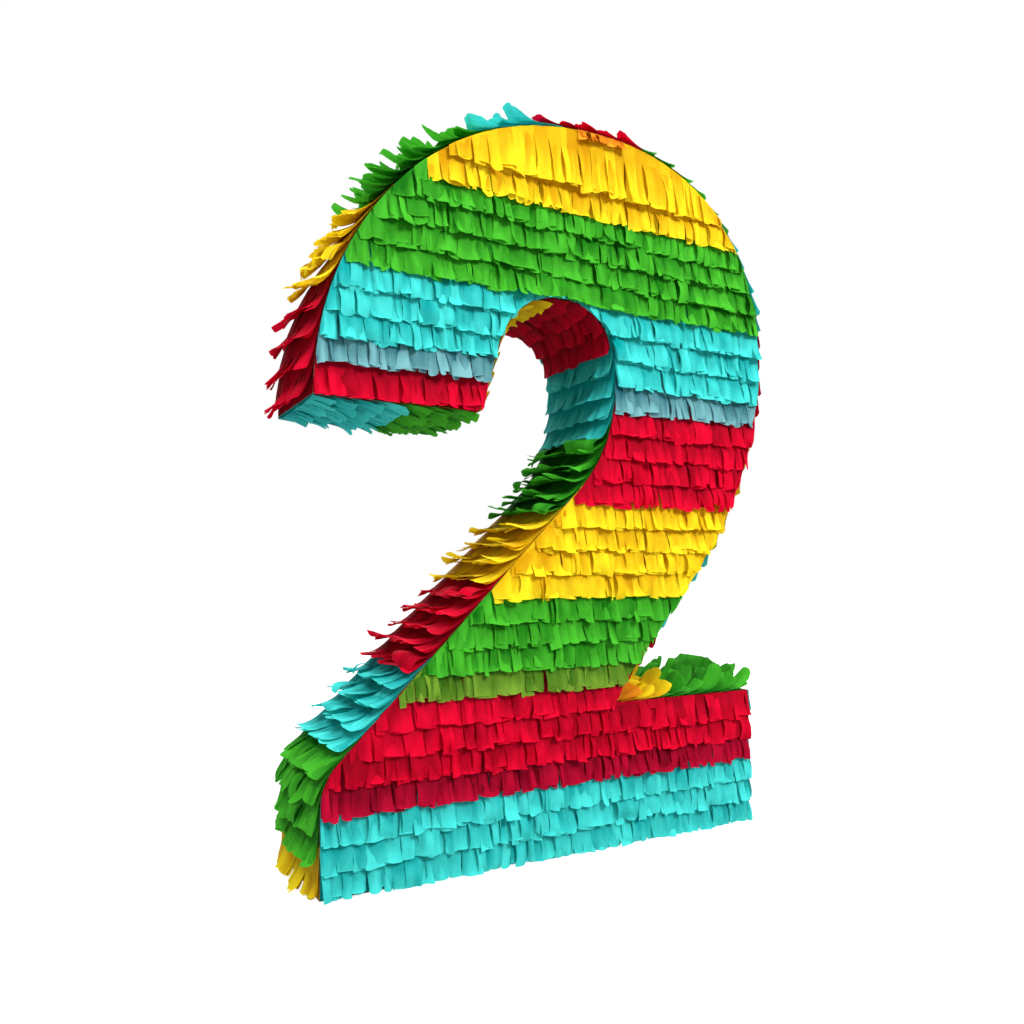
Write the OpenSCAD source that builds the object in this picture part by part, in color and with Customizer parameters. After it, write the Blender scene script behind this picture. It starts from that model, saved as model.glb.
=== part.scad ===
// Number-two pinata: a box of corrugated board, covered with rows of fringed tissue paper,
// with a fill flap cut in its back panel and two string holes over its centre of gravity.
// Frame: +Z up, the front face looks along -Y, origin in the middle of the footprint, on the floor.

/* [Figure] */
// Height of the board figure
figure_h = 559; // [549:1:569]
// Width of the board figure across its widest stretch
figure_w = 395; // [391:1:399]
// Depth of the board box, over both panels
box_d = 96; // [80:1:120]
// Thickness of the corrugated board
board_t = 3; // [2:0.5:4]
// Height of the base bar, up to its top face
base_h = 113; // [105:1:120]
// Distance from the middle to the right end of the base bar
base_right = 185; // [180:1:190]
// Distance from the middle to the left side of the foot
foot_left = 193; // [190:1:195]
// Radius of the foot's shoulder, where its side turns into the stem
foot_r = 40; // [30:1:60]
// Height of the open end of the hook
hook_end_z = 334; // [334:1:340]
// Height of the ceiling of the counter, inside the hook
counter_top_z = 426; // [424:1:430]
// Distance from the middle to the right side of the counter
counter_right = 44; // [40:1:46]

/* [Fringe] */
// Thickness of a rim row at its tips
tip_t = 2.6; // [1.5:0.1:4]
// Thickness of a row at its glued header
header_t = 1; // [0.5:0.1:1.4]
// Thickness of a face row at its tips
face_tip_t = 2; // [1.5:0.1:3]
// Distance from one rim row to the next
row_pitch = 18; // [14:1:24]

/* [Fill flap] */
// Width of the fill flap
flap_w = 100; // [80:1:110]
// Height of the fill flap, from its lower edge to its crease
flap_h = 76; // [60:1:78]
// Distance from the middle to the flap's centre line
flap_x = 118; // [114:1:122]
// Width of the knife cut round the flap
cut_w = 0.6; // [0.4:0.1:1]
// Clear strip between the crease and the fringe on either side of it
crease_clear = 3.5; // [3:0.5:5]

/* [String holes] */
// Diameter of a string hole
string_hole_d = 6; // [4:0.5:8]
// Distance between the two string holes, front to back
string_hole_pitch = 40; // [30:1:50]
// Lean of the string holes from upright, towards the hook
string_hole_lean = 6; // [4:1:8]
// Side of the square patch that doubles the board under the string holes
patch_size = 70; // [60:1:76]

/* [Hidden] */
// Heights that part the colour bands of the two faces
BAND_Z = [0, 54, 126, 196, 268, 342, 422, 492, figure_h];
// Height of the lower edge of the hook's turquoise band on the front
hook_band_z = 354;
// Height of the crease of the fill flap, at the seam between two colour bands
crease_z = BAND_Z[6];
// Height of the lowest edge of any fringe above the floor
floor_clear = 1;
// Angle between two outline points on a round stretch
arc_step = 4;
half_d = box_d / 2;
half_w = figure_w / 2;
inner_d = box_d - 2 * board_t;

// Tissue and board colours
RED = "crimson";
TURQUOISE = "turquoise";
GREEN = "limegreen";
YELLOW = "gold";
KRAFT = "burlywood";

// ---- Round stretches of the outline: centre, radius, and where each one ends

// Outer edge: hook and crown, bowl, then the flatter cheek that runs into the stem
hook_r = figure_h - hook_end_z;
hook_c = [hook_r - half_w, hook_end_z];
bowl_r = 151;
bowl_c = [half_w - bowl_r, figure_h - bowl_r];
cheek_r = 290;
cheek_c = [half_w - cheek_r, bowl_c.y];
cheek_turn = 40;
cheek_exit = on_circle(cheek_c, cheek_r, -cheek_turn);
crotch = [cheek_exit.x - (cheek_exit.y - base_h) * tan(cheek_turn), base_h];

// The left side of the stem rises at 45 degrees, and x - z is the same all along it
stem_offset = -270;
foot_x = foot_r - foot_left;
foot_c = [foot_x, foot_x - stem_offset - foot_r * sqrt(2)];
throat_r = 116;
throat_x = counter_right - throat_r;
throat_c = [throat_x, throat_x - stem_offset + throat_r * sqrt(2)];

// Counter: the bend over its right side, and the rounder one down to the hook's tongue
bend_r = 46;
bend_c = [counter_right - bend_r, counter_top_z - bend_r];
tongue_r = 52;
tongue_c = [-9.5, counter_top_z - tongue_r];
tongue_turn = 163;
tongue_exit = on_circle(tongue_c, tongue_r, tongue_turn);
tongue_lean = 180 - tongue_turn;
tongue_end = [tongue_exit.x - (tongue_exit.y - hook_end_z) * tan(tongue_lean), hook_end_z];

// ---- The outline, clockwise, in runs that meet at its sharp corners. A stretch is
// ---- ["line", from, to] or ["arc", centre, radius, first angle, last angle].

OUTER = measured([
  ["arc", hook_c, hook_r, 180, 90],
  ["line", on_circle(hook_c, hook_r, 90), on_circle(bowl_c, bowl_r, 90)],
  ["arc", bowl_c, bowl_r, 90, 0],
  ["arc", cheek_c, cheek_r, 0, -cheek_turn],
  ["line", cheek_exit, crotch]
]);
BASE_TOP = measured([["line", crotch, [base_right, base_h]]]);
BASE_END = measured([["line", [base_right, base_h], [base_right, 0]]]);
FLOOR = measured([["line", [base_right, 0], [-foot_left, 0]]]);
INNER = measured([
  ["line", [-foot_left, 0], [-foot_left, foot_c.y]],
  ["arc", foot_c, foot_r, 180, 135],
  ["line", on_circle(foot_c, foot_r, 135), on_circle(throat_c, throat_r, -45)],
  ["arc", throat_c, throat_r, -45, 0],
  ["line", [counter_right, throat_c.y], [counter_right, bend_c.y]],
  ["arc", bend_c, bend_r, 0, 90],
  ["line", on_circle(bend_c, bend_r, 90), on_circle(tongue_c, tongue_r, 90)],
  ["arc", tongue_c, tongue_r, 90, tongue_turn],
  ["line", tongue_exit, tongue_end]
]);
HOOK_END = measured([["line", tongue_end, [-half_w, hook_end_z]]]);

// Distances along the outer run to the end of the hook's arc, of the bowl and of the whole run
hook_len = arc_len(hook_r, 90);
bowl_end = hook_len + bowl_c.x - hook_c.x + arc_len(bowl_r, 90);
outer_end = run_len(OUTER);
// Distances along the inner run to the end of the foot and of the straight stem
foot_end = foot_c.y + arc_len(foot_r, 45);
stem_end = foot_end + norm(on_circle(throat_c, throat_r, -45) - on_circle(foot_c, foot_r, 135));
inner_end = run_len(INNER);
hook_end_w = run_len(HOOK_END);
base_top_w = run_len(BASE_TOP);
// Distance along the outer run to the string holes
string_d = hook_len - arc_len(hook_r, string_hole_lean);
// Where the rows on the crown fall both ways from one seam
seam_d = 396;
// Length of the rim row that is left off in the crotch, where two rim bands meet
crotch_clear = 6;
// Gap between the crotch and the first row on the base bar, which the stem leans over
corner_clear = 2;
// Gap where a straight wall butts against a bent one
butt_gap = 0.3;

// Rim bands: name, colour, run, from, to, and 1 where the tips point along the run, -1 against it
RIM_BANDS = [
  ["rim_red_hook", RED, OUTER, 0, 72, -1],
  ["rim_yellow_hook", YELLOW, OUTER, 72, 145, -1],
  ["rim_green_shoulder", GREEN, OUTER, 145, 246, -1],
  ["rim_turquoise_crown", TURQUOISE, OUTER, 246, 303, -1],
  ["rim_red_crown", RED, OUTER, 303, seam_d, -1],
  ["rim_green_bowl", GREEN, OUTER, seam_d, 504, 1],
  ["rim_turquoise_bowl", TURQUOISE, OUTER, 504, 590, 1],
  ["rim_red_bowl", RED, OUTER, 590, 662, 1],
  ["rim_yellow_cheek", YELLOW, OUTER, 662, 790, 1],
  ["rim_turquoise_stem", TURQUOISE, OUTER, 790, 876, 1],
  ["rim_red_crotch", RED, OUTER, 876, outer_end - crotch_clear, 1],
  ["rim_yellow_base_top", YELLOW, BASE_TOP, corner_clear, 46, 1],
  ["rim_green_base_top", GREEN, BASE_TOP, 46, base_top_w, 1],
  ["rim_turquoise_base_end", TURQUOISE, BASE_END, 0, base_h - floor_clear, 1],
  ["rim_yellow_foot", YELLOW, INNER, floor_clear, 26, -1],
  ["rim_green_foot", GREEN, INNER, 26, 96, -1],
  ["rim_turquoise_lower_stem", TURQUOISE, INNER, 96, 169, -1],
  ["rim_red_middle_stem", RED, INNER, 169, 252, -1],
  ["rim_yellow_upper_stem", YELLOW, INNER, 252, 326, -1],
  ["rim_green_throat", GREEN, INNER, 326, 410, -1],
  ["rim_turquoise_counter", TURQUOISE, INNER, 410, 482, -1],
  ["rim_red_counter", RED, INNER, 482, 557, -1],
  ["rim_yellow_tongue", YELLOW, INNER, 557, inner_end, -1],
  ["rim_green_hook_end", GREEN, HOOK_END, 0, 53, -1],
  ["rim_turquoise_hook_end", TURQUOISE, HOOK_END, 53, hook_end_w, -1]
];

// Face bands: name, colour, lower and upper height, number of rows, and the side of the middle
// that the band is on: -1 for the hook, 1 for the bowl, 0 for both
FRONT_BANDS = [
  ["front_turquoise_base", TURQUOISE, BAND_Z[0] + floor_clear, BAND_Z[1], 3, 0],
  ["front_red_base", RED, BAND_Z[1], BAND_Z[2], 4, 0],
  ["front_green_stem", GREEN, BAND_Z[2], BAND_Z[3], 4, 0],
  ["front_yellow_stem", YELLOW, BAND_Z[3], BAND_Z[4], 4, 0],
  ["front_red_bowl", RED, BAND_Z[4], BAND_Z[5], 4, 1],
  ["front_turquoise_bowl", TURQUOISE, BAND_Z[5], BAND_Z[6], 4, 1],
  ["front_red_hook", RED, hook_end_z, hook_band_z, 1, -1],
  ["front_turquoise_hook", TURQUOISE, hook_band_z, BAND_Z[6], 4, -1],
  ["front_green_crown", GREEN, BAND_Z[6], BAND_Z[7], 4, 0],
  ["front_yellow_crown", YELLOW, BAND_Z[7], BAND_Z[8], 2, 0]
];
BACK_BANDS = [
  ["back_turquoise_base", TURQUOISE, BAND_Z[0] + floor_clear, BAND_Z[1], 3, 0],
  ["back_red_base", RED, BAND_Z[1], BAND_Z[2], 4, 0],
  ["back_green_stem", GREEN, BAND_Z[2], BAND_Z[3], 4, 0],
  ["back_yellow_stem", YELLOW, BAND_Z[3], BAND_Z[4], 4, 0],
  ["back_red_bowl", RED, BAND_Z[4], BAND_Z[5], 4, 0],
  ["back_turquoise_bowl", TURQUOISE, BAND_Z[5], BAND_Z[6], 4, 0],
  ["back_green_crown", GREEN, BAND_Z[6], BAND_Z[7], 4, 0],
  ["back_yellow_crown", YELLOW, BAND_Z[7], BAND_Z[8], 4, 0]
];

// Board walls between the panels: name, run, from and to. At a sharp corner one wall runs
// through and its neighbour stops against it.
WALLS = [
  ["hook_wall", OUTER, 0, hook_len / 2],
  ["crown_wall", OUTER, hook_len / 2, hook_len],
  ["bowl_wall", OUTER, hook_len, bowl_end],
  ["cheek_wall", OUTER, bowl_end, outer_end],
  ["base_top_wall", BASE_TOP, -2 * board_t, base_top_w],
  ["base_end_wall", BASE_END, board_t, base_h - board_t],
  ["floor_wall", FLOOR, 0, base_right + foot_left],
  ["foot_wall", INNER, board_t, foot_end],
  ["stem_wall", INNER, foot_end, stem_end],
  ["counter_wall", INNER, stem_end, inner_end],
  ["hook_end_wall", HOOK_END, board_t, hook_end_w - board_t - butt_gap]
];

// ---- Measuring along a run

function on_circle(c, r, a) = c + r * [cos(a), sin(a)];
function arc_len(r, a) = 2 * PI * r * a / 360;
function left_of(v) = [-v.y, v.x] / norm(v);

// A knot is a point of the outline and its outward direction, at fraction u of stretch s
function line_knot(s, u) = [s[1] + u * (s[2] - s[1]), left_of(s[2] - s[1])];
function arc_knot(s, u) =
  let (a = s[3] + u * (s[4] - s[3]), out = sign(s[3] - s[4]))
  [on_circle(s[1], s[2], a), out * [cos(a), sin(a)]];
function knot(s, u) = s[0] == "line" ? line_knot(s, u) : arc_knot(s, u);
function steps(s) = s[0] == "line" ? 1 : ceil(abs(s[4] - s[3]) / arc_step);
function run_knots(run) =
  concat([knot(run[0], 0)], [for (s = run) for (i = [1:steps(s)]) knot(s, i / steps(s))]);

// A measured run is its knots and the distance from its start to each of them
function measured(run) =
  let (k = run_knots(run))
  [k, [for (i = 0, d = 0; i < len(k); d = d + knot_gap(k, i), i = i + 1) d]];
function knot_gap(k, i) = i + 1 < len(k) ? norm(k[i + 1][0] - k[i][0]) : 0;
function run_len(run) = run[1][len(run[1]) - 1];
function run_points(run) = [for (i = [0:len(run[0]) - 2]) run[0][i][0]];

// The point at distance d along a run, moved outward by out; past an end the run goes on straight
function at(run, d, out) =
  let (
    i = max([for (j = [0:len(run[1]) - 2]) if (j == 0 || run[1][j] <= d) j]),
    u = (d - run[1][i]) / (run[1][i + 1] - run[1][i]),
    a = run[0][i][0] + out * run[0][i][1],
    b = run[0][i + 1][0] + out * run[0][i + 1][1]
  )
  a + u * (b - a);

// Distances of the ends of a piece of a run and of the knots between them
function stations(run, from, to) =
  concat(from, [for (d = run[1]) if (d > from + 0.01 && d < to - 0.01) d], to);

// Points along a run from one distance to another, moved outward evenly from out[0] to out[1]
function edge(run, from, to, out) =
  [for (d = stations(run, from, to)) at(run, d, out[0] + (out[1] - out[0]) * (d - from) / (to - from))];
function reversed(list) = [for (i = [len(list) - 1:-1:0]) list[i]];

// Outline of a strip of board along a run, between two offsets from it
function strip(run, from, to, inner, outer) =
  concat(edge(run, from, to, [outer, outer]), reversed(edge(run, from, to, [inner, inner])));

// Outline of a band of rim rows, each one thin at its header and thick at its tips
function rim_outline(run, from, to, way) =
  let (
    rows = max(1, round((to - from) / row_pitch)),
    pitch = (to - from) / rows,
    out = way > 0 ? [header_t, tip_t] : [tip_t, header_t]
  )
  concat(
    [for (i = [0:rows - 1]) each edge(run, from + i * pitch, from + (i + 1) * pitch, out)],
    reversed(edge(run, from, to, [0, 0]))
  );

// ---- Shared shapes

// Raises a flat X-Z drawing and gives it the depth from y0 to y1
module upright(y0, y1) {
  translate([0, y1, 0]) rotate([90, 0, 0]) linear_extrude(y1 - y0) children();
}

// The whole figure as a flat drawing
module figure() {
  polygon([for (run = [OUTER, BASE_TOP, BASE_END, FLOOR, INNER, HOOK_END]) each run_points(run)]);
}

// The fill flap's window, drawn flat and grown by grow on its cut sides and lift at its crease
module window(grow, lift) {
  translate([flap_x - flap_w / 2 - grow, crease_z - flap_h - grow])
    square([flap_w + 2 * grow, flap_h + grow + lift]);
}

// The two string holes, square to the curve of the crown
module string_holes(d) {
  centre = at(OUTER, string_d, 0);
  for (side = [-1, 1])
    translate([centre.x, side * string_hole_pitch / 2, centre.y])
      rotate([0, -string_hole_lean, 0])
        cylinder(h = 40, d = d, center = true, $fn = 48);
}

// ---- Board

module front_panel() {
  color(KRAFT) upright(-half_d, board_t - half_d) figure();
}

module back_panel() {
  color(KRAFT) upright(half_d - board_t, half_d) difference() {
    figure();
    window(0, 0);
  }
}

// One wall strip between the panels
module wall(w) {
  color(KRAFT) upright(-inner_d / 2, inner_d / 2) polygon(strip(w[1], w[2], w[3], -board_t, 0));
}

// The wall that carries the string holes
module crown_wall(w) {
  difference() {
    wall(w);
    color(KRAFT) string_holes(string_hole_d);
  }
}

// The wall that stands on the base bar: it runs on past the crotch and is cut level there
module cheek_wall(w) {
  difference() {
    wall([w[0], w[1], w[2], w[3] + 2 * board_t]);
    color(KRAFT) translate([crotch.x - 50, -half_d, base_h - 50]) cube([100, box_d, 50]);
  }
}

module any_wall(w) {
  if (w[0] == "crown_wall") crown_wall(w);
  else if (w[0] == "cheek_wall") cheek_wall(w);
  else wall(w);
}

// Second layer of board glued under the crown, where the hanging string pulls
module hanger_patch() {
  color(KRAFT) difference() {
    upright(-patch_size / 2, patch_size / 2)
      polygon(strip(OUTER, string_d - patch_size / 2, string_d + patch_size / 2, -2 * board_t, -board_t));
    string_holes(string_hole_d);
  }
}

// The door cut out of the back panel, which turns on its crease
module flap_board() {
  color(KRAFT) upright(half_d - board_t, half_d) window(-cut_w, -cut_w / 2);
}

// ---- Fringe

// Rows of a face band behind the back panel, each one thin at its header and thicker at its tips
module face_rows(b) {
  row_h = (b[3] - b[2]) / b[4];
  x_low = b[5] > 0 ? 0 : -half_w;
  x_high = b[5] < 0 ? 0 : half_w;
  for (i = [0:b[4] - 1])
    translate([x_low, half_d, b[2] + i * row_h])
      rotate([90, 0, 90])
        linear_extrude(x_high - x_low)
          polygon([[0, 0], [face_tip_t, 0], [header_t, row_h], [0, row_h]]);
}

module face_slice() {
  upright(half_d, half_d + face_tip_t) children();
}

module front_band(b) {
  color(b[1]) mirror([0, 1, 0]) intersection() {
    face_rows(b);
    face_slice() figure();
  }
}

// A back band leaves the fill flap and the strip beside its crease free
module back_band(b) {
  color(b[1]) intersection() {
    face_rows(b);
    face_slice() difference() {
      figure();
      window(0, crease_clear);
    }
  }
}

module flap_fringe() {
  color(TURQUOISE) intersection() {
    face_rows(BACK_BANDS[5]);
    face_slice() window(-cut_w, -crease_clear);
  }
}

// A rim band is as deep as the box, and the one over the string holes is pierced wider than they are
module rim_band(b) {
  pierced = b[2] == OUTER && b[3] < string_d && b[4] > string_d;
  color(b[1]) difference() {
    upright(-half_d, half_d) polygon(rim_outline(b[2], b[3], b[4], b[5]));
    if (pierced) string_holes(string_hole_d + 4);
  }
}

// ---- Nodes

front_panel();
back_panel();
for (w = WALLS) any_wall(w);
hanger_patch();
flap_board();
flap_fringe();
for (b = FRONT_BANDS) front_band(b);
for (b = BACK_BANDS) back_band(b);
for (b = RIM_BANDS) rim_band(b);
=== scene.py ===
"""Number-two pinata: every row of fringed tissue as its own cut strip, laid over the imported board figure.

Metres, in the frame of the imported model: +Z up, the front face looks along -Y. A strip of tissue is
glued along its uncut header and slit into tabs below it. "Fall" is the way from header to tips.
"""

import math
import random
from collections import namedtuple

import bpy
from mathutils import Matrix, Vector, noise


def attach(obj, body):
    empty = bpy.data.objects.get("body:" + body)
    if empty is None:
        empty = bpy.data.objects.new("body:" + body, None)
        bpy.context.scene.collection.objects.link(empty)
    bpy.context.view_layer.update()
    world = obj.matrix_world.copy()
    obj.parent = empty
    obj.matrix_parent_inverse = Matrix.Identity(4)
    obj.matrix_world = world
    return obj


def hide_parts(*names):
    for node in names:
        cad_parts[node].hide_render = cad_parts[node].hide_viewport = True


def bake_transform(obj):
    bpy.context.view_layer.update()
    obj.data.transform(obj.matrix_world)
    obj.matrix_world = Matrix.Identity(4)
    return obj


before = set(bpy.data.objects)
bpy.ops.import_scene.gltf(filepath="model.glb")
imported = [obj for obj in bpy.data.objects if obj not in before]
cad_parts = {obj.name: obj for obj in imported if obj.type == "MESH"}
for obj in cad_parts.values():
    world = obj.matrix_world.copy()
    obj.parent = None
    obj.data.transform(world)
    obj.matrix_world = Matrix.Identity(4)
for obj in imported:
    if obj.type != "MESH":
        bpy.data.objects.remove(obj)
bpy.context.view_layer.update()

# ---- The board figure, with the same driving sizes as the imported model

# Turns are in degrees. The left side of the stem lies on the line z = x - STEM_OFFSET
FIGURE_H = 0.559
FIGURE_W = 0.395
HALF_D = 0.048
HALF_W = FIGURE_W / 2
BASE_H = 0.113
BASE_RIGHT = 0.185
FOOT_LEFT = 0.193
FOOT_R = 0.040
HOOK_END_Z = 0.334
COUNTER_TOP_Z = 0.426
COUNTER_RIGHT = 0.044
BOWL_R = 0.151
CHEEK_R = 0.290
CHEEK_TURN = 40
STEM_OFFSET = -0.270
THROAT_R = 0.116
BEND_R = 0.046
TONGUE_R = 0.052
TONGUE_X = -0.0095
TONGUE_TURN = 163
# Tissue keeps this far off the floor
FLOOR_CLEAR = 0.0004
# The fill flap in the back panel: its crease is its upper edge, and CUT is the gap round the other three
CREASE_Z = 0.422
FLAP_LEFT, FLAP_RIGHT = 0.068, 0.168
FLAP_LOW = 0.346
CUT = 0.0006
# How far the row above the flap hangs over the crease
CREASE_OVERHANG = 0.004
# The flap's own rows begin this far under the crease, so that they clear the panel when the flap is open
CREASE_CLEAR = 0.002
# The two string holes: how far each lies from the middle plane, and their lean from upright in degrees
STRING_HOLE_Y = 0.020
STRING_LEAN = 6
# The greatest distance between the points of the outline
OUTLINE_STEP = 0.003


def on_circle(centre, radius, degrees):
    """The point on a circle at an angle from +X."""
    a = math.radians(degrees)
    return Vector((centre[0] + radius * math.cos(a), centre[1] + radius * math.sin(a)))


class Line:
    """A straight stretch of outline, as (x, z) points."""

    def __init__(self, start, end):
        self.start, self.way = Vector(start), Vector(end) - Vector(start)
        self.length = self.way.length
        self.way.normalize()

    def place(self, d):
        """Point and outward direction at distance d."""
        return self.start + self.way * d, Vector((-self.way.y, self.way.x))


class Arc:
    """A round stretch of outline, from one angle to another, in degrees."""

    def __init__(self, centre, radius, first, last):
        self.centre, self.radius, self.first, self.last = centre, radius, first, last
        self.length = radius * math.radians(abs(last - first))
        self.outward = 1 if first > last else -1

    def place(self, d):
        """Point and outward direction at distance d."""
        a = self.first + (self.last - self.first) * d / self.length
        out = on_circle((0, 0), self.outward, a)
        return on_circle(self.centre, self.radius, a), out


class Run:
    """The outline between two sharp corners, measured by the distance along it."""

    def __init__(self, *stretches):
        self.stretches = stretches
        self.length = sum(s.length for s in stretches)

    def place(self, d):
        """Point and outward direction at distance d. Past an end, the run goes straight on."""
        inside = min(max(d, 0), self.length)
        rest = inside
        for stretch in self.stretches:
            if rest <= stretch.length or stretch is self.stretches[-1]:
                break
            rest -= stretch.length
        point, out = stretch.place(min(rest, stretch.length))
        return point + Vector((out.y, -out.x)) * (d - inside), out

    def points(self):
        """Points along the run, without its end, which is where the next run starts."""
        n = math.ceil(self.length / OUTLINE_STEP)
        return [self.place(self.length * i / n)[0] for i in range(n)]


hook_r = FIGURE_H - HOOK_END_Z
hook_c = (hook_r - HALF_W, HOOK_END_Z)
bowl_c = (HALF_W - BOWL_R, FIGURE_H - BOWL_R)
cheek_c = (HALF_W - CHEEK_R, bowl_c[1])
cheek_exit = on_circle(cheek_c, CHEEK_R, -CHEEK_TURN)
crotch = (cheek_exit.x - (cheek_exit.y - BASE_H) * math.tan(math.radians(CHEEK_TURN)), BASE_H)
foot_x = FOOT_R - FOOT_LEFT
foot_c = (foot_x, foot_x - STEM_OFFSET - FOOT_R * math.sqrt(2))
throat_x = COUNTER_RIGHT - THROAT_R
throat_c = (throat_x, throat_x - STEM_OFFSET + THROAT_R * math.sqrt(2))
bend_c = (COUNTER_RIGHT - BEND_R, COUNTER_TOP_Z - BEND_R)
tongue_c = (TONGUE_X, COUNTER_TOP_Z - TONGUE_R)
tongue_exit = on_circle(tongue_c, TONGUE_R, TONGUE_TURN)
tongue_run_in = (tongue_exit.y - HOOK_END_Z) * math.tan(math.radians(180 - TONGUE_TURN))
tongue_end = (tongue_exit.x - tongue_run_in, HOOK_END_Z)

OUTER = Run(
    Arc(hook_c, hook_r, 180, 90),
    Line(on_circle(hook_c, hook_r, 90), on_circle(bowl_c, BOWL_R, 90)),
    Arc(bowl_c, BOWL_R, 90, 0),
    Arc(cheek_c, CHEEK_R, 0, -CHEEK_TURN),
    Line(cheek_exit, crotch),
)
BASE_TOP = Run(Line(crotch, (BASE_RIGHT, BASE_H)))
BASE_END = Run(Line((BASE_RIGHT, BASE_H), (BASE_RIGHT, 0)))
FLOOR = Run(Line((BASE_RIGHT, 0), (-FOOT_LEFT, 0)))
INNER = Run(
    Line((-FOOT_LEFT, 0), (-FOOT_LEFT, foot_c[1])),
    Arc(foot_c, FOOT_R, 180, 135),
    Line(on_circle(foot_c, FOOT_R, 135), on_circle(throat_c, THROAT_R, -45)),
    Arc(throat_c, THROAT_R, -45, 0),
    Line((COUNTER_RIGHT, throat_c[1]), (COUNTER_RIGHT, bend_c[1])),
    Arc(bend_c, BEND_R, 0, 90),
    Line(on_circle(bend_c, BEND_R, 90), on_circle(tongue_c, TONGUE_R, 90)),
    Arc(tongue_c, TONGUE_R, 90, TONGUE_TURN),
    Line(tongue_exit, tongue_end),
)
HOOK_END = Run(Line(tongue_end, (-HALF_W, HOOK_END_Z)))
FIGURE = [p for run in (OUTER, BASE_TOP, BASE_END, FLOOR, INNER, HOOK_END) for p in run.points()]
# On the outer run: where the rows that fall to the left part from those that fall to the right, and
# where the string holes are
SEAM = 0.396
STRING_D = hook_r * math.radians(90 - STRING_LEAN)


def heights(x):
    """The stretches of height that the figure covers at x, lowest first."""
    found = []
    for p, q in zip(FIGURE, FIGURE[1:] + FIGURE[:1]):
        if (p.x <= x) != (q.x <= x):
            found.append(p.y + (q.y - p.y) * (x - p.x) / (q.x - p.x))
    found.sort()
    return list(zip(found[::2], found[1::2]))


# ---- How a row of tissue is cut and how it curls

# tab: width of a tab; length: strip from its upper edge to the tips; header: its uncut part; slope: how
# much a strip stands off per length, since it lies on the row before; flare: how far tips stand off;
# curl, twist, sway: bends of a tab; ragged: unevenness of the tips; pleat: depth of the soft folds;
# rolled: share of the tabs whose tips roll back in; spread: how unevenly the tabs of a row flare;
# waist: how far a tab's sides pull in half way down; corner: how much shorter its corners are
Look = namedtuple(
    "Look", "tab length header slope flare curl twist sway ragged pleat rolled spread waist corner"
)
FACE = Look(
    tab=0.0090, length=0.034, header=0.013, slope=0.085, flare=0.0027, curl=0.0027, twist=0.0022,
    sway=0.0010, ragged=0.0014, pleat=0.0018, rolled=0.4, spread=0.65, waist=0.30, corner=0.0013,
)
RIM = Look(
    tab=0.0155, length=0.036, header=0.018, slope=0.130, flare=0.0045, curl=0.0016, twist=0.0018,
    sway=0.0012, ragged=0.0018, pleat=0.0020, rolled=0.06, spread=0.35, waist=0.04, corner=0.0045,
)
# The crown's top row on the front is cut from a wider strip
LONG = FACE._replace(tab=0.0105, length=0.052, header=0.018)
# A scrap glued over the crown's edge
SCRAP = FACE._replace(length=0.014, header=0.006, slope=0.25)
ROW_PITCH = 0.018

# How single tabs differ. The ranges are shares of the look's values
TAB_WIDTHS = (0.75, 1.3)
HEADERS = (0.9, 1.15)
CORNERS = (0, 1.2)
CURLS = (0.2, 1.3)
TIP_FLARES = (-0.4, 0.8)
WAISTS = (0.1, 1)
TAPERS = (-0.10, 0.14)
# Standard deviations: of the tips' length and slant as shares of ragged, of the sway, and of the tone
TIP_SPREAD = 0.7
SLANT_SPREAD = 0.45
SWAY_SPREAD = 0.8
TONE_SPREAD = 0.24
MIDDLE_TONE = 0.5
# Missed slits leave a double tab, and some tabs are slivers: the share of each, and its width in tabs
UNCUT_SHARE, UNCUT_WIDTH = 0.09, 1.9
SLIVER_SHARE, SLIVER_WIDTH = 0.10, 0.5

# The bend of a tab: how far round a sine a rolled one goes, in radians; the square of the place across
# where curling leaves it level; how fast curl and sway set in; how far down its tip begins; how far past
# its usual length a tab goes on bending; and how tightly its corners are rounded
ROLL = 2.5
CURL_LEVEL = 0.35
CURL_POWER = 0.6
SWAY_POWER = 1.5
TIP_START = 0.7
LONGEST = 1.1
CORNER_POWER = 4
# How often pleats, fine crinkles and the waver of a tab's sides change per metre, across and down, and
# how much the last two do
PLEAT_GRAIN = (170, 28)
CRINKLE_GRAIN = (420, 160)
CRINKLE = 0.0003
WAVER_GRAIN = 110
WAVER_PLANE = 4
WAVER = 0.8
# The share of their depth that pleats keep in the header
HEADER_PLEAT = 0.25
# How much the flare drifts along a row, and how often per metre
SWELL = 0.35
SWELL_GRAIN = 30
# Seeds of the noise are drawn up to here
SEEDS = 100

# The under ply of a strip: how much wider its tabs are, their waist, and how much shorter and lower they
# are than the upper ply's, and how much deeper its tone is, as painted shade under the upper ply
UNDER_WIDER = 1.7
UNDER_WAIST = 0.06
UNDER_SHORTER = 0.0015
UNDER_LOWER = 0.0005
UNDER_PLY_SHADE = 0.30
PLY_GAP = 0.0004
# A tab's least height over the row below it
REST_GAP = 3 * PLY_GAP
# Painted light and shade: how much fairer the crest of a pleat is than its valley, and the cut lip of a tab
# than the tab, as a painted highlight. Pleats reach their full painted light a third of the way down
PLEAT_LIGHT = 0.55
PLEAT_LIGHT_ONSET = 3
LIP_HIGHLIGHT = 0.45
LIP = 0.0009
# The uncut sheet under a band: its step, how far it lies off the figure, and its tone, held deep as painted
# shade under the rows
BACKING_STEP = 0.003
BACKING_OFF = 0.0002
BACKING_SHADE_TONE = 0.2

# How finely a strip is divided: down its header, down its tabs, and across
HEADER_STEPS = 2
TAB_STEPS = 8
COLUMN = 0.0018
# Paper shorter than this is left out, and its edge is found by this many halvings
LEAST_COLUMN = 0.006
EDGE_HALVINGS = 4
# The most that tissue may stand off the faces and the rim
FACE_MOST_OFF = 0.0135
RIM_MOST_OFF = 0.0235
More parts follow.
